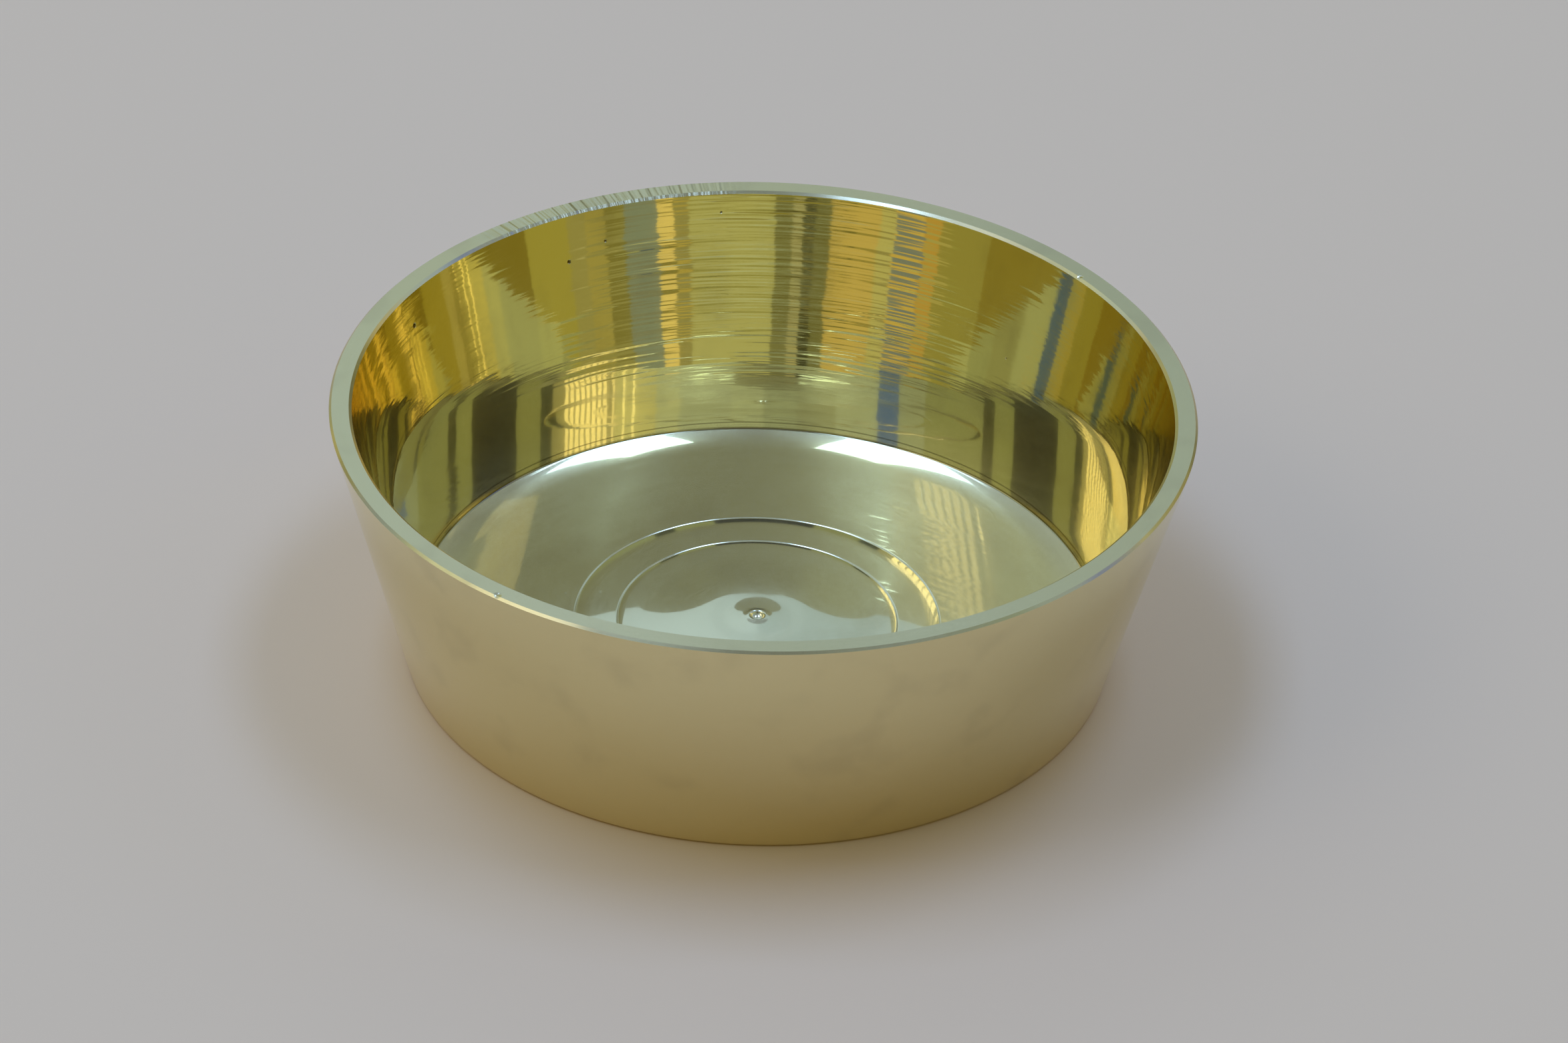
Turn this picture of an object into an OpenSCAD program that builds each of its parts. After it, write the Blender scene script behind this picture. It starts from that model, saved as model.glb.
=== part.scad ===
// Shallow flared bowl, cast in brass in one piece and turned all over on a lathe.
// The axis is Z, and the origin is the middle of the foot, on the surface it stands on.

/* [Rim] */
// Outside diameter at the top of the rim
rim_d = 110; // [100:1:130]
// Width of the rim, from the outside of the wall to the inside
rim_w = 2.8; // [2.2:0.1:3.4]
// Bevel along the rim's inner and outer edges
rim_bevel = 0.3; // [0.1:0.05:0.5]

/* [Wall] */
// Height from the foot to the top of the rim
height = 36; // [30:1:48]
// Diameter that the straight outside wall would have at the bottom of the foot
base_d = 90.8; // [89:0.2:94]
// Radius of the tool-cut corner between the wall and the floor
corner_r = 0.3; // [0.2:0.1:0.8]

/* [Floor] */
// Diameter of the floor inside the corner
floor_d = 88; // [84:0.5:88]
// Height of the flat part of the floor above the foot
floor_z = 3.1; // [2.6:0.1:4]
// Width of the outer band of the floor, which sweeps up towards the wall
sweep_w = 4; // [2:0.5:6]
// Radius of that sweep
sweep_r = 13; // [12:0.5:20]
// Diameters of the two rings scribed in the floor
ring_d_in = 36; // [33:0.5:38]
ring_d_out = 47; // [42:0.5:60]
// Width of a scribed ring
ring_w = 0.3; // [0.2:0.05:0.6]
// Depth of a scribed ring
ring_depth = 0.06; // [0.04:0.02:0.2]

/* [Centre of the floor] */
// Diameter of the foot of the low boss that the facing cut leaves in the middle
boss_d = 31; // [26:0.5:32]
// Diameter of the boss's flat top
boss_top_d = 12.4; // [12:0.2:16]
// Height of the boss above the floor
boss_h = 0.46; // [0.2:0.01:0.6]
// Diameter of the slight rise round the centre mark
rise_d = 8.8; // [8:0.2:11.4]
// Height of the rise
rise_h = 0.13; // [0.04:0.01:0.16]
// Diameter of the lathe's centre mark
mark_d = 2; // [1.6:0.2:4]
// Depth of the centre mark
mark_depth = 0.6; // [0.3:0.1:0.8]

/* [Foot] */
// Radius of the foot's outer edge
foot_edge_r = 0.8; // [0.4:0.1:1.2]
// Diameter of the shallow recess under the foot
recess_d = 76; // [60:1:80]
// Depth of the recess
recess_depth = 0.5; // [0.3:0.1:0.8]

/* [Hidden] */
$fn = 180;
arc_steps = 8;
middle_steps = 10;
mark_steps = 6;
rim_r = rim_d / 2;
mouth_r = rim_r - rim_w;
base_r = base_d / 2;
floor_r = floor_d / 2;
sweep_start_r = floor_r - sweep_w;
recess_r = recess_d / 2;
recess_slope = 2;
outer_draft = atan((rim_r - base_r) / (height - rim_bevel));
sweep_end = asin(sweep_w / sweep_r);
floor_edge_z = floor_z + sweep_r * (1 - cos(sweep_end));
inner_draft = atan((mouth_r - floor_r - corner_r / 2) / (height - floor_edge_z - corner_r / 2));
corner_x = floor_r - corner_r * sin(sweep_end);
corner_z = floor_edge_z + corner_r * cos(sweep_end);
foot_edge_x = base_r - foot_edge_r * (1 - sin(outer_draft)) / cos(outer_draft);

// Points along an arc about (x, z). Angles are measured from straight down towards the outside.
function arc(x, z, r, from, to) =
    [for (i = [0:arc_steps]) let (a = from + (to - from) * i / arc_steps) [x + r * sin(a), z - r * cos(a)]];

// The points of a list from the last to the first, leaving out the last ones
function reversed(points, left_out = 0) =
    [for (i = [len(points) - 1 - left_out:-1:0]) points[i]];

// A smooth step: 1 up to radius r_in, and down to 0 at radius r_out
function smooth_step(r, r_in, r_out) =
    (1 + cos(180 * min(1, max(0, (r - r_in) / (r_out - r_in))))) / 2;

// Height of the boss and the rise above the flat floor at radius r
function middle(r) =
    boss_h * smooth_step(r, boss_top_d / 2, boss_d / 2) + rise_h * smooth_step(r, 0, rise_d / 2);

// Points of the boss and the rise between two radii, from the outer one to the inner one
function middle_part(r_out, r_in) =
    [for (i = [0:middle_steps]) let (r = r_out + (r_in - r_out) * i / middle_steps)
        [r, floor_z + middle(r)]];

// One scribed ring, from its outer edge to its inner edge, as a shallow round groove
function ring(d) =
    [for (i = [arc_steps:-1:0]) let (t = i / arc_steps)
        [d / 2 + ring_w * (t - 0.5), floor_z - ring_depth * sin(180 * t)]];

// The centre mark, from its rim to the axis, as part of a round-bottomed hollow
mark_points =
    [for (i = [mark_steps - 1:-1:0]) let (t = i / mark_steps)
        [t * mark_d / 2, floor_z + middle(mark_d / 2) - mark_depth * (1 - t * t)]];

under_side = [
    [0, recess_depth],
    [recess_r - recess_slope, recess_depth],
    [recess_r, 0],
];

out_side = concat(
    arc(foot_edge_x, foot_edge_r, foot_edge_r, 0, 90 - outer_draft),
    [[rim_r, height - rim_bevel], [rim_r - rim_bevel, height]]
);

in_side = concat(
    [[mouth_r + rim_bevel, height], [mouth_r - rim_bevel * tan(inner_draft), height - rim_bevel]],
    reversed(arc(corner_x, corner_z, corner_r, sweep_end, 90 - inner_draft)),
    reversed(arc(sweep_start_r, floor_z + sweep_r, sweep_r, 0, sweep_end), 1)
);

floor_side = concat(
    ring(ring_d_out),
    ring(ring_d_in),
    middle_part(boss_d / 2, boss_top_d / 2),
    middle_part(rise_d / 2, mark_d / 2),
    mark_points
);

module bowl() {
    color("darkkhaki")
        rotate_extrude()
            polygon(concat(under_side, out_side, in_side, floor_side));
}

bowl();
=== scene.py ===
"""Brass shaving bowl, turned in one piece, with its metal, a pale floor, studio light and the camera."""
import math

import bpy
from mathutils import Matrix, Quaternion, Vector


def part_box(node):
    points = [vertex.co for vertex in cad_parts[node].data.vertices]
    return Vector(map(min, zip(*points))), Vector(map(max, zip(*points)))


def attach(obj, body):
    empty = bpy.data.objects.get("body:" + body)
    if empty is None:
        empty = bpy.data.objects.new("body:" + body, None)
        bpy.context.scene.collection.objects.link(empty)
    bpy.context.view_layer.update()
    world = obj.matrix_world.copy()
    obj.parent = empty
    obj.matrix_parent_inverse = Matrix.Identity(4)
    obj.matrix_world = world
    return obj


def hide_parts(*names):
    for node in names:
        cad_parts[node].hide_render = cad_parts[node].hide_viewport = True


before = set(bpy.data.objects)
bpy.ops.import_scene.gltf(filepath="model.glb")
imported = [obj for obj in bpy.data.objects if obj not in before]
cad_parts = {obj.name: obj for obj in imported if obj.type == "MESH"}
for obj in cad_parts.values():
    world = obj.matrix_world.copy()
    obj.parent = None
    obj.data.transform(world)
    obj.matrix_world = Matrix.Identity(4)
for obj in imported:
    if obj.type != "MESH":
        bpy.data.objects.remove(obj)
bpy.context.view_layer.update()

MM = 0.001
BOWL_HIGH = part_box("bowl")[1]

# ---------------------------------------------------------------- sizes, the same as in the CAD model
HEIGHT = BOWL_HIGH.z
RIM_R = round(max(BOWL_HIGH.x, BOWL_HIGH.y), 4)
RIM_W = 2.8 * MM
RIM_BEVEL = 0.3 * MM
BASE_R = 45.4 * MM
CORNER_R = 0.3 * MM
FLOOR_R = 44.0 * MM
FLOOR_Z = 3.1 * MM
SWEEP_W = 4.0 * MM
SWEEP_R = 13.0 * MM
RING_RADII = (18.0 * MM, 23.5 * MM)
RING_W = 0.3 * MM
RING_DEPTH = 0.06 * MM
BOSS_R = 15.5 * MM
BOSS_TOP_R = 6.2 * MM
BOSS_H = 0.46 * MM
RISE_R = 4.4 * MM
RISE_H = 0.13 * MM
MARK_R = 1.0 * MM
MARK_DEPTH = 0.6 * MM
FOOT_EDGE_R = 0.8 * MM
RECESS_R = 38.0 * MM
RECESS_DEPTH = 0.5 * MM
RECESS_SLOPE = 2.0 * MM

MOUTH_R = RIM_R - RIM_W
SWEEP_END = math.asin(SWEEP_W / SWEEP_R)
SWEEP_START_R = FLOOR_R - SWEEP_W
FLOOR_EDGE_Z = FLOOR_Z + SWEEP_R * (1 - math.cos(SWEEP_END))
OUTER_DRAFT = math.atan((RIM_R - BASE_R) / (HEIGHT - RIM_BEVEL))
INNER_DRAFT = math.atan((MOUTH_R - FLOOR_R - CORNER_R / 2) / (HEIGHT - FLOOR_EDGE_Z - CORNER_R / 2))

# Only in the visual model: the curve of the centre mark's side, and the lip that the centre drill raised
MARK_POWER = 3
LIP_R = 1.7 * MM
LIP_HEIGHT = 0.08 * MM

# How many rows of points each stretch of the section has, and how many points each row has round the bowl
MARK_ROWS = 9
LIP_ROWS = 5
BOSS_ROWS = 40
RING_ROWS = 8
SWEEP_ROWS = 12
CORNER_ROWS = 6
WALL_ROWS = 60
RIM_ROWS = 6
OUTSIDE_ROWS = 40
FOOT_ROWS = 8
UNDERSIDE_ROWS = 12
SEGMENTS = 360
# Radius of the floor's innermost row, and the rows of the flat parts inside, between and outside the rings
INNERMOST_R = 0.1 * MM
FLAT_ROWS = (4, 3, 8)

# ---------------------------------------------------------------- the camera
FOCAL_LENGTH = 163.26
SENSOR_WIDTH = 36.0
VIEW_DISTANCE = 0.92065
VIEW_ELEVATION = math.radians(34.66)
VIEW_ROLL = math.radians(1.90)
AIM_RIGHT = 3.07 * MM
AIM_UP = 15.27 * MM


def make_camera():
    """The camera stands in front of the bowl, looks down at it and is rolled slightly."""
    data = bpy.data.cameras.new("camera")
    data.lens = FOCAL_LENGTH
    data.sensor_width = SENSOR_WIDTH
    data.sensor_fit = "HORIZONTAL"
    data.clip_start = 0.01
    data.clip_end = 100.0
    camera = bpy.data.objects.new("camera", data)
    bpy.context.scene.collection.objects.link(camera)
    place = VIEW_DISTANCE * Vector((0, -math.cos(VIEW_ELEVATION), math.sin(VIEW_ELEVATION)))
    aim = Vector((AIM_RIGHT, AIM_UP * math.sin(VIEW_ELEVATION), AIM_UP * math.cos(VIEW_ELEVATION)))
    forward = (aim - place).normalized()
    turn = forward.to_track_quat("-Z", "Y")
    camera.location = place
    camera.rotation_mode = "QUATERNION"
    camera.rotation_quaternion = turn @ Quaternion((0, 0, 1), VIEW_ROLL)
    bpy.context.scene.camera = camera


make_camera()


# ---------------------------------------------------------------- the bowl's section
def arc(x, z, r, start, end, steps):
    """Points along an arc about (x, z). Angles are measured from straight down towards the outside."""
    angles = [start + (end - start) * i / steps for i in range(steps + 1)]
    return [(x + r * math.sin(a), z - r * math.cos(a)) for a in angles]


def even(start, end, steps):
    """Numbers from start to end in equal steps, without the end."""
    return [start + (end - start) * i / steps for i in range(steps)]


def smooth_step(r, inside, outside):
    """1 up to the radius inside, falling smoothly to 0 at the radius outside."""
    t = min(1.0, max(0.0, (r - inside) / (outside - inside)))
    return (1 + math.cos(math.pi * t)) / 2


def floor_height(r):
    """Height of the floor at radius r: flat, with the boss, the centre mark, the rings and the swept edge."""
    z = FLOOR_Z + BOSS_H * smooth_step(r, BOSS_TOP_R, BOSS_R) + RISE_H * smooth_step(r, 0, RISE_R)
    if r < MARK_R:
        z -= MARK_DEPTH * (1 - (r / MARK_R) ** MARK_POWER)
    elif r < LIP_R:
        z += LIP_HEIGHT * (1 - ((r - MARK_R) / (LIP_R - MARK_R)) ** 2)
    for ring in RING_RADII:
        across = (r - ring) / RING_W
        if abs(across) < 0.5:
            z -= RING_DEPTH * math.cos(math.pi * across)
    if r > SWEEP_START_R:
        z += SWEEP_R - math.sqrt(SWEEP_R ** 2 - (r - SWEEP_START_R) ** 2)
    return z


def floor_radii():
    """Where the floor's rows of points lie: close together in the mark, the boss, the rings and the sweep."""
    radii = even(INNERMOST_R, MARK_R, MARK_ROWS) + even(MARK_R, LIP_R, LIP_ROWS)
    radii += even(LIP_R, BOSS_R, BOSS_ROWS)
    flat_start = BOSS_R
    for ring, rows in zip(RING_RADII, FLAT_ROWS):
        radii += even(flat_start, ring - RING_W, rows)
        radii += even(ring - RING_W / 2, ring + RING_W / 2, RING_ROWS) + [ring + RING_W / 2]
        flat_start = ring + RING_W
    radii += even(flat_start, SWEEP_START_R, FLAT_ROWS[-1])
    return radii + even(SWEEP_START_R, FLOOR_R, SWEEP_ROWS)


def section():
    """Rows of the bowl's section, from the floor round to the foot.

    Each row is its radius, its height, the zone of the face that follows it and whether its edge is sharp.
    """
    corner_x = FLOOR_R - CORNER_R * math.sin(SWEEP_END)
    corner_z = FLOOR_EDGE_Z + CORNER_R * math.cos(SWEEP_END)
    foot_x = BASE_R - FOOT_EDGE_R * (1 - math.sin(OUTER_DRAFT)) / math.cos(OUTER_DRAFT)
    rows = [(r, floor_height(r), "floor", False) for r in floor_radii()]
    corner = arc(corner_x, corner_z, CORNER_R, SWEEP_END, math.pi / 2 - INNER_DRAFT, CORNER_ROWS)
    rows += [(x, z, "wall", i == 0) for i, (x, z) in enumerate(corner)]
    low_x, low_z = corner[-1]
    top_x, top_z = MOUTH_R - RIM_BEVEL * math.tan(INNER_DRAFT), HEIGHT - RIM_BEVEL
    for t in even(0, 1, WALL_ROWS)[1:]:
        rows.append((low_x + (top_x - low_x) * t, low_z + (top_z - low_z) * t, "wall", False))
    rows.append((top_x, top_z, "rim", True))
    rows.append((MOUTH_R + RIM_BEVEL, HEIGHT, "rim", True))
    for t in even(0, 1, RIM_ROWS)[1:]:
        rows.append((MOUTH_R + RIM_BEVEL + (RIM_W - 2 * RIM_BEVEL) * t, HEIGHT, "rim", False))
    rows.append((RIM_R - RIM_BEVEL, HEIGHT, "rim", True))
    rows.append((RIM_R, HEIGHT - RIM_BEVEL, "outside", True))
    foot = arc(foot_x, FOOT_EDGE_R, FOOT_EDGE_R, math.pi / 2 - OUTER_DRAFT, 0, FOOT_ROWS)
    bottom_x, bottom_z = foot[0]
    for t in even(0, 1, OUTSIDE_ROWS)[1:]:
        across = RIM_R + (bottom_x - RIM_R) * t
        down = HEIGHT - RIM_BEVEL + (bottom_z - HEIGHT + RIM_BEVEL) * t
        rows.append((across, down, "outside", False))
    rows += [(x, z, "outside", False) for x, z in foot[:-1]]
    rows.append((foot[-1][0], 0.0, "underside", False))
    rows.append((RECESS_R, 0.0, "underside", True))
    rows.append((RECESS_R - RECESS_SLOPE, RECESS_DEPTH, "underside", True))
    for t in even(0, 1, UNDERSIDE_ROWS)[1:]:
        rows.append(((RECESS_R - RECESS_SLOPE) * (1 - t), RECESS_DEPTH, "underside", False))
    return rows


ZONES = ("floor", "wall", "rim", "outside", "underside")


def make_bowl():
    """Turns the section about Z into one closed mesh, with a material slot for each zone."""
    rows = section()
    vertices, faces, zone_of_face, sharp = [], [], [], set()
    angles = [2 * math.pi * i / SEGMENTS for i in range(SEGMENTS)]
    for i, (r, z, zone, is_sharp) in enumerate(rows):
        vertices += [(r * math.cos(a), r * math.sin(a), z) for a in angles]
        for j in range(SEGMENTS):
            here = i * SEGMENTS + j
            beside = i * SEGMENTS + (j + 1) % SEGMENTS
            if is_sharp:
                sharp.add((min(here, beside), max(here, beside)))
            if i + 1 < len(rows):
                faces.append((here, here + SEGMENTS, beside + SEGMENTS, beside))
                zone_of_face.append(ZONES.index(zone))
    middle, last = len(vertices), (len(rows) - 1) * SEGMENTS
    vertices += [(0, 0, floor_height(0)), (0, 0, RECESS_DEPTH)]
    for j in range(SEGMENTS):
        k = (j + 1) % SEGMENTS
        faces += [(middle, j, k), (middle + 1, last + k, last + j)]
        zone_of_face += [ZONES.index("floor"), ZONES.index("underside")]
    mesh = bpy.data.meshes.new("bowl_turned")
    mesh.from_pydata(vertices, [], faces)
    for zone in ZONES:
        mesh.materials.append(turned_brass(zone))
    mesh.polygons.foreach_set("material_index", zone_of_face)
    mesh.polygons.foreach_set("use_smooth", [True] * len(mesh.polygons))
    marks = mesh.attributes.new("sharp_edge", "BOOLEAN", "EDGE")
    for edge in mesh.edges:
        marks.data[edge.index].value = tuple(sorted(edge.vertices)) in sharp
    mesh.update()
    bowl = bpy.data.objects.new("bowl_turned", mesh)
    bpy.context.scene.collection.objects.link(bowl)
    return bowl


# ---------------------------------------------------------------- the brass
def on_wall(azimuth, height):
    """The point of the inside wall at that height and azimuth, in degrees from the back (+Y) to the right."""
    r = FLOOR_R + (height - FLOOR_EDGE_Z) * math.tan(INNER_DRAFT)
    return Vector((r * math.sin(math.radians(azimuth)), r * math.cos(math.radians(azimuth)), height))


def on_rim(azimuth, r):
    """The point of the rim at that azimuth and radius."""
    return Vector((r * math.sin(math.radians(azimuth)), r * math.cos(math.radians(azimuth)), HEIGHT))


# Casting pores in the inside wall and nicks in the rim: where each is, and its radius
PORES = (
    (on_wall(-31.3, 29.7 * MM), 0.34 * MM),
    (on_wall(-25.1, 31.3 * MM), 0.26 * MM),
    (on_wall(-7.2, 33.3 * MM), 0.22 * MM),
    (on_wall(-63.1, 31.7 * MM), 0.42 * MM),
    (on_wall(41.0, 21.0 * MM), 0.20 * MM),
)
NICKS = (
    (on_rim(-144.6, RIM_R - 0.5 * MM), 0.60 * MM),
    (on_rim(50.8, MOUTH_R + 0.4 * MM), 0.45 * MM),
)
# The share of a pore's and of a nick's radius that is at full depth, and how deep they are, in mm
PORE_CORE = 0.5
NICK_CORE = 0.0
PORE_DEPTH = 0.10
NICK_DEPTH = 0.12

# Colours, and how much of a stain, and of the painted shade and dirt, covers the brass where it is strongest
BRASS = (0.845, 0.755, 0.43, 1.0)
PALE_BRASS = (0.83, 0.765, 0.49, 1.0)
STAINED_BRASS = (0.66, 0.58, 0.34, 1.0)
# The dark colour of the dirt in the pores, and of the painted shade in the wall's corner and line
DIRT_AND_SHADE = (0.16, 0.12, 0.05, 1.0)
STAIN_AMOUNT = 0.35
SHADE_AND_DIRT_AMOUNT = 0.6

# Heights above the floor's edge: of the corner's painted shade and dirt, and of the line where the wall's cut
# began, also painted shade with some dirt. The corner fades over CORNER_FADE, and the line is all dark up to
# LINE_CORE from its middle and gone at LINE_EDGE.
CORNER_SHADE_AND_DIRT = 0.2 * MM
CORNER_FADE = 0.2 * MM
TOOL_LINE = 0.9 * MM
LINE_CORE = 0.04 * MM
LINE_EDGE = 0.12 * MM

# Sizes of the stains and of the slow waves
CLOUD_SIZE = 9.0 * MM
WAVE_SIZE = 3.5 * MM
# Which stretch of the noise's values makes the stains, the change of brightness and the patches of ripples
STAIN_NOISE = (0.52, 0.72)
SHARE_NOISE = (0.3, 0.7)
PATCH_NOISE = (0.35, 0.65)
# Marks that run round the bowl, as the turns of noise round it, the pitch in mm across and a shift of the
# noise: fine streaks, the tool's ripples, and patches of stronger and weaker ripples
STREAKS = (5.0, 0.6, 7.0)
RIPPLES = (2.5, 0.65, 3.0)
RIPPLE_PATCHES = (1.6, 9.0, 20.0)
# Where the wall's ripples grow from weak to full: upwards, as heights, and from the bowl's sides towards its
# back and front, as parts of the direction that lie along Y
RIPPLE_START_Z = 11.0 * MM
RIPPLE_FULL_Z = 14.0 * MM
RIPPLE_SIDE = 0.80
RIPPLE_BACK = 0.93
# How strong the ripples still are below the start, between the patches and at the sides
RIPPLE_WEAKEST = {"below": 0.08, "patch": 0.35, "side": 0.15}

# Chatter marks across the rim: turns of noise round it and pitch, their height in mm, the direction they lie
# in from the middle, as parts of +X and +Y, and how closely a point has to lie in it
CHATTER = (80.0, 20.0)
CHATTER_HEIGHT = 0.18
CHATTER_EAST = -0.42
CHATTER_NORTH = 0.91
CHATTER_EDGE = 0.93
CHATTER_CORE = 0.98

# How much the share of bright grains changes with the stains, with the streaks and towards the swept edge of
# the floor, where it falls from EDGE_DULL_R outwards
CLOUD_SHARE = 0.05
STREAK_SHARE = 0.04
EDGE_SHARE = -0.16
EDGE_DULL_R = SWEEP_START_R - 4 * MM

# The metal of each zone. tone: how far its colour is towards the stained brass. bright, dull: the least and
# the greatest roughness of its grains. share: the share of the grains that is bright. stretch: how far the
# turning marks stretch the shine across them. waves, ripples, streaks: heights in mm of the slow waves, of
# the tool's ripples and of the fine streaks.
FINISHES = {
    "floor": {
        "tone": 0.0, "bright": 0.03, "dull": 0.50, "share": 0.46, "stretch": 0.4,
        "waves": 0.003, "ripples": 0.0, "streaks": 0.0006,
    },
    "wall": {
        "tone": 0.0, "bright": 0.025, "dull": 0.20, "share": 0.80, "stretch": 0.5,
        "waves": 0.006, "ripples": 0.064, "streaks": 0.0016,
    },
    "rim": {
        "tone": 0.8, "bright": 0.16, "dull": 0.44, "share": 0.30, "stretch": 0.7,
        "waves": 0.0, "ripples": 0.0, "streaks": 0.003,
    },
    "outside": {
        "tone": 0.1, "bright": 0.06, "dull": 0.34, "share": 0.52, "stretch": 0.6,
        "waves": 0.005, "ripples": 0.012, "streaks": 0.005,
    },
    "underside": {
        "tone": 0.3, "bright": 0.16, "dull": 0.44, "share": 0.30, "stretch": 0.5,
        "waves": 0.0, "ripples": 0.004, "streaks": 0.004,
    },
}
# A quarter turn, as the shader counts it: the shine is stretched across the turning marks
ACROSS_MARKS = 0.25
# Keeps the direction from the axis defined on the axis itself
TINY_R = 1e-5


class Nodes:
    """Short calls that add shader nodes to one node tree."""

    def __init__(self, tree):
        self.tree = tree

    def put(self, value, socket):
        """Links value to socket, or sets it if it is a plain number or colour."""
        if isinstance(value, bpy.types.NodeSocket):
            self.tree.links.new(value, socket)
        else:
            socket.default_value = value

    def math(self, operation, a, b=0.0, c=0.0):
        """One sum of up to three numbers."""
        node = self.tree.nodes.new("ShaderNodeMath")
        node.operation = operation
        for value, socket in zip((a, b, c), node.inputs):
            self.put(value, socket)
        return node.outputs[0]

    def product(self, first, *others):
        """All the numbers multiplied together."""
        for other in others:
            first = self.math("MULTIPLY", first, other)
        return first

    def split(self, vector):
        """The three parts of a vector."""
        node = self.tree.nodes.new("ShaderNodeSeparateXYZ")
        self.put(vector, node.inputs[0])
        return node.outputs

    def join(self, x, y, z):
        """A vector made of its three parts."""
        node = self.tree.nodes.new("ShaderNodeCombineXYZ")
        for value, socket in zip((x, y, z), node.inputs):
            self.put(value, socket)
        return node.outputs[0]

    def scaled(self, where, scale):
        """A place multiplied by scale."""
        node = self.tree.nodes.new("ShaderNodeVectorMath")
        node.operation = "SCALE"
        self.put(where, node.inputs[0])
        self.put(scale, node.inputs["Scale"])
        return node.outputs[0]

    def noise(self, where, detail):
        """Noise from 0 to 1 at a place that is already scaled."""
        node = self.tree.nodes.new("ShaderNodeTexNoise")
        node.inputs["Scale"].default_value = 1.0
        node.inputs["Detail"].default_value = detail
        self.put(where, node.inputs["Vector"])
        return node.outputs["Fac"]

    def grain(self, where):
        """An even random value from 0 to 1 that differs from one grain of the metal to the next."""
        node = self.tree.nodes.new("ShaderNodeTexWhiteNoise")
        self.put(where, node.inputs["Vector"])
        return node.outputs["Value"]

    def spread(self, value, low, high, to_low, to_high, smooth=True):
        """Maps low..high to to_low..to_high, held at both ends."""
        node = self.tree.nodes.new("ShaderNodeMapRange")
        node.interpolation_type = "SMOOTHSTEP" if smooth else "LINEAR"
        for number, name in ((low, "From Min"), (high, "From Max"), (to_low, "To Min"), (to_high, "To Max")):
            self.put(number, node.inputs[name])
        self.put(value, node.inputs["Value"])
        return node.outputs["Result"]

    def spots(self, where, places, core):
        """1 at each of the places, falling to 0 from that share of its radius to its radius."""
        most = 0.0
        for place, radius in places:
            node = self.tree.nodes.new("ShaderNodeVectorMath")
            node.operation = "DISTANCE"
            self.put(where, node.inputs[0])
            self.put(place, node.inputs[1])
            spot = self.spread(node.outputs["Value"], core * radius, radius, 1.0, 0.0)
            most = self.math("MAXIMUM", spot, most)
        return most

    def mix(self, amount, a, b):
        """Mixes two colours. The factor is the Mix node's input 0, and the colours are its inputs 6 and 7."""
        node = self.tree.nodes.new("ShaderNodeMix")
        node.data_type = "RGBA"
        for value, socket in ((amount, 0), (a, 6), (b, 7)):
            self.put(value, node.inputs[socket])
        return node.outputs[2]


class Marks:
    """The patterns on the brass of one zone, as values in its node tree."""

    def __init__(self, n, zone):
        self.n = n
        self.place = n.tree.nodes.new("ShaderNodeTexCoord").outputs["Object"]
        x, y, self.z = n.split(self.place)
        self.radius = n.math("SQRT", n.math("ADD", n.math("MULTIPLY", x, x), n.math("MULTIPLY", y, y)))
        self.east = n.math("DIVIDE", x, n.math("MAXIMUM", self.radius, TINY_R))
        self.north = n.math("DIVIDE", y, n.math("MAXIMUM", self.radius, TINY_R))
        self.along = n.math("DIVIDE", self.z if zone in ("wall", "outside") else self.radius, MM)
        self.cloud = n.noise(n.scaled(self.place, 1 / CLOUD_SIZE), detail=3.0)
        self.streaks = n.noise(self.around(*STREAKS), detail=3.0)
        self.ripples = n.noise(self.around(*RIPPLES), detail=1.0)
        self.waves = n.noise(n.scaled(self.place, 1 / WAVE_SIZE), detail=1.0)
        if zone == "wall":
            self.pores = n.spots(self.place, PORES, PORE_CORE)

    def around(self, turns, pitch, shift=0.0):
        """A place whose noise runs round the bowl: turns of it round the bowl, and pitch mm apart across."""
        east = self.n.math("MULTIPLY", self.east, turns)
        north = self.n.math("MULTIPLY", self.north, turns)
        return self.n.join(east, north, self.n.math("MULTIPLY_ADD", self.along, 1 / pitch, shift))


def brass_colour(n, marks, zone, finish):
    """Brass, faintly stained. Painted shade and dirt in the wall's corner and the line above it, dirt in its
    pores.
    """
    clean = PALE_BRASS if zone == "floor" else BRASS
    stain = n.spread(marks.cloud, *STAIN_NOISE, finish["tone"], finish["tone"] + STAIN_AMOUNT)
    colour = n.mix(stain, clean, STAINED_BRASS)
    if zone == "wall":
        # Painted shade, with some dirt: a dark band in the corner where the wall meets the floor
        up = n.math("SUBTRACT", marks.z, FLOOR_EDGE_Z)
        corner = n.spread(up, CORNER_SHADE_AND_DIRT, CORNER_SHADE_AND_DIRT + CORNER_FADE, SHADE_AND_DIRT_AMOUNT, 0.0)
        # Painted shade, with some polishing residue: a dark line where the wall's cut began, 0.9 mm above the
        # floor's edge
        from_line = n.math("ABSOLUTE", n.math("SUBTRACT", up, TOOL_LINE))
        line = n.spread(from_line, LINE_CORE, LINE_EDGE, SHADE_AND_DIRT_AMOUNT, 0.0)
        colour = n.mix(n.math("MAXIMUM", corner, line), colour, DIRT_AND_SHADE)
        colour = n.mix(marks.pores, colour, DIRT_AND_SHADE)
    return colour


def brass_roughness(n, marks, zone, finish):
    """A share of the grains is bright, and the others run evenly from bright to dull."""
    by_cloud = n.spread(marks.cloud, *SHARE_NOISE, CLOUD_SHARE, -CLOUD_SHARE)
    by_streak = n.spread(marks.streaks, *SHARE_NOISE, STREAK_SHARE, -STREAK_SHARE)
    share = n.math("ADD", n.math("ADD", by_cloud, by_streak), finish["share"])
    if zone == "floor":
        share = n.math("ADD", share, n.spread(marks.radius, EDGE_DULL_R, FLOOR_R, 0.0, EDGE_SHARE))
    return n.spread(n.grain(marks.place), share, 1.0, finish["bright"], finish["dull"], smooth=False)


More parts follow.
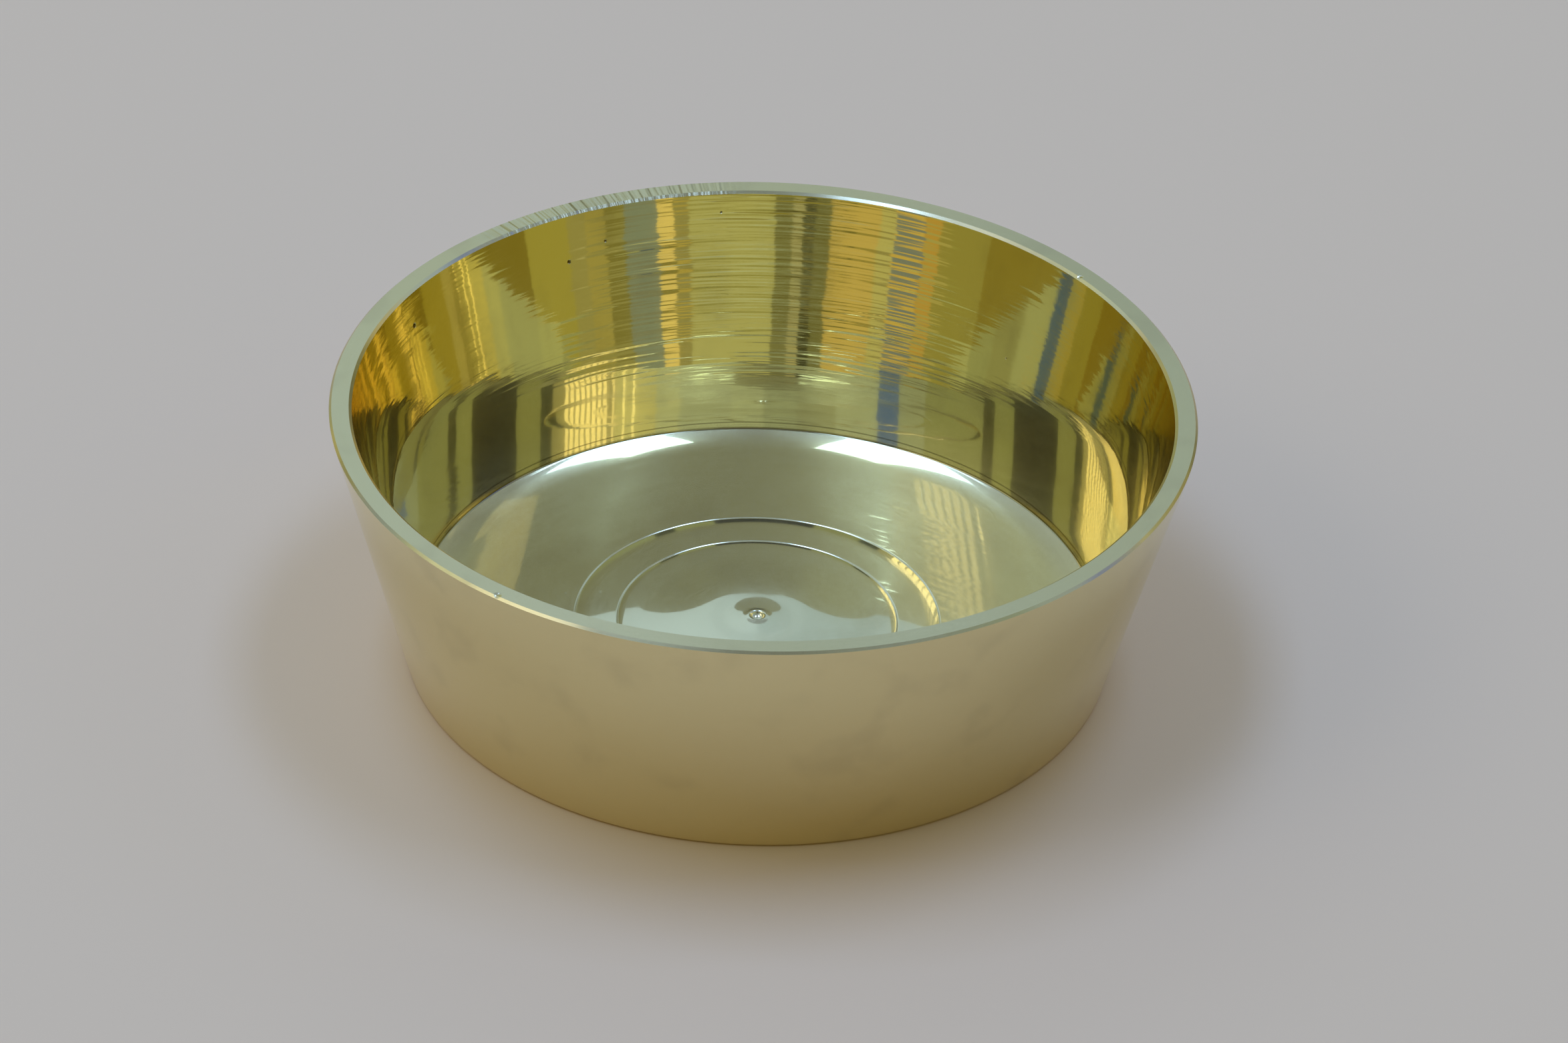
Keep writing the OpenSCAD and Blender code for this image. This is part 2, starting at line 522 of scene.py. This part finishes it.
def brass_height(n, marks, zone, finish):
    """Height in mm of the fine relief: waves, ripples and streaks, then pores, nicks and chatter marks."""
    ripples = marks.ripples
    if zone == "wall":
        upper = n.spread(marks.z, RIPPLE_START_Z, RIPPLE_FULL_Z, RIPPLE_WEAKEST["below"], 1.0)
        patch_noise = n.noise(marks.around(*RIPPLE_PATCHES), detail=2.0)
        patches = n.spread(patch_noise, *PATCH_NOISE, RIPPLE_WEAKEST["patch"], 1.0)
        along_y = n.math("ABSOLUTE", marks.north)
        back = n.spread(along_y, RIPPLE_SIDE, RIPPLE_BACK, RIPPLE_WEAKEST["side"], 1.0)
        ripples = n.product(ripples, upper, patches, back)
    height = n.math("MULTIPLY", marks.waves, finish["waves"])
    height = n.math("ADD", height, n.math("MULTIPLY", ripples, finish["ripples"]))
    height = n.math("ADD", height, n.math("MULTIPLY", marks.streaks, finish["streaks"]))
    if zone == "wall":
        height = n.math("MULTIPLY_ADD", marks.pores, -PORE_DEPTH, height)
    if zone == "rim":
        height = n.math("MULTIPLY_ADD", n.spots(marks.place, NICKS, NICK_CORE), -NICK_DEPTH, height)
        eastward = n.math("MULTIPLY", marks.east, CHATTER_EAST)
        northward = n.math("MULTIPLY", marks.north, CHATTER_NORTH)
        there = n.spread(n.math("ADD", eastward, northward), CHATTER_EDGE, CHATTER_CORE, 0.0, 1.0)
        chatter = n.math("MULTIPLY", n.noise(marks.around(*CHATTER), detail=1.0), there)
        height = n.math("MULTIPLY_ADD", chatter, CHATTER_HEIGHT, height)
    return height


def turned_brass(zone):
    """Bare turned brass for one zone of the bowl."""
    material = bpy.data.materials.new("brass_" + zone)
    material.use_nodes = True
    tree = material.node_tree
    tree.nodes.clear()
    n = Nodes(tree)
    marks = Marks(n, zone)
    finish = FINISHES[zone]
    shader = tree.nodes.new("ShaderNodeBsdfPrincipled")
    shader.inputs["Metallic"].default_value = 1.0
    shader.inputs["Anisotropic"].default_value = finish["stretch"]
    shader.inputs["Anisotropic Rotation"].default_value = ACROSS_MARKS
    tangent = tree.nodes.new("ShaderNodeTangent")
    tangent.direction_type = "RADIAL"
    tangent.axis = "Z"
    n.put(tangent.outputs[0], shader.inputs["Tangent"])
    n.put(brass_colour(n, marks, zone, finish), shader.inputs["Base Color"])
    n.put(brass_roughness(n, marks, zone, finish), shader.inputs["Roughness"])
    bump = tree.nodes.new("ShaderNodeBump")
    bump.inputs["Distance"].default_value = MM
    n.put(brass_height(n, marks, zone, finish), bump.inputs["Height"])
    n.put(bump.outputs[0], shader.inputs["Normal"])
    out = tree.nodes.new("ShaderNodeOutputMaterial")
    n.put(shader.outputs[0], out.inputs["Surface"])
    return material


bowl = make_bowl()
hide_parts("bowl")
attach(bowl, "root")

# ---------------------------------------------------------------- the floor, the light and the background
# How far the studio floor reaches to each side in metres, its colour, its roughness and its gloss
GROUND_REACH = 1.2
GROUND_COLOUR = (0.84, 0.63, 0.44, 1.0)
GROUND_ROUGHNESS = 0.7
GROUND_GLOSS = 0.2


def make_floor():
    """A plain pale floor."""
    mesh = bpy.data.meshes.new("studio_floor")
    corners = [(-1, -1), (1, -1), (1, 1), (-1, 1)]
    mesh.from_pydata([(x * GROUND_REACH, y * GROUND_REACH, 0) for x, y in corners], [], [(0, 1, 2, 3)])
    material = bpy.data.materials.new("pale_floor")
    material.use_nodes = True
    shader = material.node_tree.nodes["Principled BSDF"]
    shader.inputs["Base Color"].default_value = GROUND_COLOUR
    shader.inputs["Roughness"].default_value = GROUND_ROUGHNESS
    shader.inputs["Specular IOR Level"].default_value = GROUND_GLOSS
    mesh.materials.append(material)
    ground = bpy.data.objects.new("studio_floor", mesh)
    bpy.context.scene.collection.objects.link(ground)


# Light colours, the height in metres of the ceiling panels and the distance of the window strips
COOL = (0.42, 0.68, 1.36)
DAYLIGHT = (0.95, 0.92, 0.85)
WARM = (1.0, 0.97, 0.72)
CEILING = 1.5
STRIP_DISTANCE = 1.6

# Panels in the ceiling: name, x, y, width and depth in metres, and radiance
CEILING_PANELS = (
    ("ceiling_left", -0.435, 0.11, 0.37, 0.98, 5.8),
    ("ceiling_right", 0.46, 0.22, 0.34, 0.80, 6.2),
)
# Rows of strips: name, azimuths, elevation, width and height, in degrees from the bowl, colour and radiance
STRIP_ROWS = (
    ("window_strip", [-125 + 3.7 * i for i in range(8)], 42, 2.0, 24, DAYLIGHT, 1.5),
    ("window_line", [-94, -87, -81], 42, 1.3, 24, DAYLIGHT, 1.2),
    ("window_top", [-108 + 4.5 * i for i in range(6)], 56, 1.6, 5, DAYLIGHT, 0.45),
    ("side_window", [60], 52, 20, 6, WARM, 0.25),
)


def panel(name, wide, high, colour, radiance):
    """A soft rectangular light, wide and high in metres, which the camera doesn't see."""
    data = bpy.data.lights.new(name, "AREA")
    data.shape = "RECTANGLE"
    data.size = wide
    data.size_y = high
    data.color = colour
    data.energy = radiance * math.pi * wide * high
    light = bpy.data.objects.new(name, data)
    light.visible_camera = False
    bpy.context.scene.collection.objects.link(light)
    return light


def direction(azimuth, elevation):
    """The direction at that azimuth, from the back (+Y) towards the right (+X), and elevation, in degrees."""
    a, e = math.radians(azimuth), math.radians(elevation)
    return Vector((math.sin(a) * math.cos(e), math.cos(a) * math.cos(e), math.sin(e)))


def strip_size(degrees):
    """Width or height in metres of a strip that spans that many degrees as seen from the bowl."""
    return 2 * STRIP_DISTANCE * math.tan(math.radians(degrees / 2))


def make_lights():
    """Cool panels in the ceiling, and strips of window light that face the bowl."""
    for name, x, y, wide, deep, radiance in CEILING_PANELS:
        light = panel(name, wide, deep, COOL, radiance)
        light.location = (x, y, CEILING)
    for name, azimuths, elevation, wide, high, colour, radiance in STRIP_ROWS:
        for i, azimuth in enumerate(azimuths):
            light = panel(f"{name}_{i}", strip_size(wide), strip_size(high), colour, radiance)
            towards = direction(azimuth, elevation)
            light.location = towards * STRIP_DISTANCE
            light.rotation_mode = "QUATERNION"
            light.rotation_quaternion = towards.to_track_quat("Z", "Y")


# Bands of the studio round the bowl: where each starts, in degrees from the back (+Y) towards the right (+X),
# and its colour. The lowest and the low bands are the walls, and the middle ones what is above them.
LOWEST_BANDS = (
    (-180, (0.24, 0.22, 0.05)),
    (-134, (0.40, 0.41, 0.14)),
    (-109, (0.36, 0.38, 0.22)),
    (-99, (0.42, 0.42, 0.20)),
    (-88, (0.24, 0.25, 0.11)),
    (-77, (0.25, 0.31, 0.38)),
    (-59, (0.28, 0.28, 0.11)),
    (-50, (0.54, 0.50, 0.20)),
    (-42, (0.36, 0.40, 0.22)),
    (3, (0.16, 0.17, 0.10)),
    (12, (0.10, 0.11, 0.06)),
    (18, (0.26, 0.27, 0.18)),
    (24, (0.16, 0.17, 0.10)),
    (34, (0.18, 0.19, 0.08)),
    (46, (0.36, 0.34, 0.14)),
    (60, (0.34, 0.36, 0.22)),
    (67, (0.70, 0.58, 0.22)),
    (83, (0.58, 0.42, 0.14)),
    (92, (0.34, 0.35, 0.14)),
    (120, (0.28, 0.26, 0.07)),
)
LOW_BANDS = (
    (-180, (0.24, 0.22, 0.05)),
    (-134, (0.40, 0.41, 0.14)),
    (-109, (0.48, 0.52, 0.40)),
    (-99, (0.33, 0.36, 0.22)),
    (-77, (0.25, 0.35, 0.50)),
    (-59, (0.94, 0.86, 0.50)),
    (-50, (0.34, 0.36, 0.22)),
    (-42, (0.52, 0.59, 0.42)),
    (3, (0.22, 0.25, 0.17)),
    (12, (0.46, 0.50, 0.42)),
    (18, (0.05, 0.06, 0.04)),
    (24, (0.19, 0.22, 0.15)),
    (32, (0.66, 0.58, 0.29)),
    (58, (0.58, 0.63, 0.40)),
    (67, (0.22, 0.30, 0.50)),
    (83, (0.48, 0.49, 0.26)),
    (98, (0.36, 0.39, 0.17)),
    (120, (0.28, 0.26, 0.07)),
)
MIDDLE_BANDS = (
    (-180, (0.01, 0.01, 0.01)),
    (-160, (0.29, 0.36, 0.25)),
    (-142, (0.03, 0.04, 0.03)),
    (-134, (0.42, 0.46, 0.36)),
    (-92, (0.78, 0.88, 0.70)),
    (-66, (0.62, 0.80, 0.95)),
    (-52, (0.50, 0.68, 0.95)),
    (-20, (0.56, 0.76, 1.00)),
    (0, (0.42, 0.58, 0.76)),
    (20, (0.38, 0.50, 0.62)),
    (44, (0.48, 0.66, 0.92)),
    (70, (0.08, 0.20, 1.10)),
    (83, (0.39, 0.53, 0.70)),
    (100, (0.31, 0.40, 0.34)),
    (140, (0.05, 0.06, 0.04)),
    (148, (0.31, 0.40, 0.30)),
    (163, (0.01, 0.01, 0.01)),
)
# Half the width in degrees over which one band runs into the next
BAND_BLUR = 0.8
# The top of the studio is cooler and brighter on the left than on the right, and turns over between these
# parts of the direction that lie along X
TOP_LEFT = (0.38, 0.48, 0.60, 1.0)
TOP_RIGHT = (0.22, 0.26, 0.28, 1.0)
TOP_TURN = (-0.6, 0.1)
# Where each ring of the studio runs into the one above it, as sines of the elevation
LOW_EDGE = (0.348, 0.378)
MIDDLE_EDGE = (0.45, 0.53)
TOP_EDGE = (0.66, 0.74)
# What the camera sees behind the floor
BACKDROP = (0.46, 0.46, 0.45, 1.0)


def bands(n, turn, stops):
    """The colour of a ring of bands at the azimuth turn, in degrees: each band starts at its own azimuth."""
    colour = (*stops[0][1], 1.0)
    for azimuth, next_colour in stops[1:]:
        amount = n.spread(turn, azimuth - BAND_BLUR, azimuth + BAND_BLUR, 0.0, 1.0)
        colour = n.mix(amount, colour, (*next_colour, 1.0))
    return colour


def make_background():
    """A soft studio round the bowl, plain and pale where the camera sees it."""
    world = bpy.data.worlds.new("studio")
    bpy.context.scene.world = world
    world.use_nodes = True
    tree = world.node_tree
    tree.nodes.clear()
    n = Nodes(tree)
    x, y, z = n.split(tree.nodes.new("ShaderNodeTexCoord").outputs["Generated"])
    turn = n.math("DEGREES", n.math("ARCTAN2", x, y))
    low_amount = n.spread(z, *LOW_EDGE, 0.0, 1.0)
    colour = n.mix(low_amount, bands(n, turn, LOWEST_BANDS), bands(n, turn, LOW_BANDS))
    colour = n.mix(n.spread(z, *MIDDLE_EDGE, 0.0, 1.0), colour, bands(n, turn, MIDDLE_BANDS))
    top = n.mix(n.spread(x, *TOP_TURN, 0.0, 1.0), TOP_LEFT, TOP_RIGHT)
    colour = n.mix(n.spread(z, *TOP_EDGE, 0.0, 1.0), colour, top)
    studio = tree.nodes.new("ShaderNodeBackground")
    n.put(colour, studio.inputs["Color"])
    plain = tree.nodes.new("ShaderNodeBackground")
    plain.inputs["Color"].default_value = BACKDROP
    either = tree.nodes.new("ShaderNodeMixShader")
    n.put(tree.nodes.new("ShaderNodeLightPath").outputs["Is Camera Ray"], either.inputs[0])
    n.put(studio.outputs[0], either.inputs[1])
    n.put(plain.outputs[0], either.inputs[2])
    out = tree.nodes.new("ShaderNodeOutputWorld")
    n.put(either.outputs[0], out.inputs["Surface"])


make_lights()
make_floor()
make_background()
bpy.context.scene.view_settings.view_transform = "Standard"
# Light has to bounce many times between the walls of a polished bowl
LIGHT_BOUNCES = 16
bpy.context.scene.cycles.max_bounces = LIGHT_BOUNCES
bpy.context.scene.cycles.glossy_bounces = LIGHT_BOUNCES
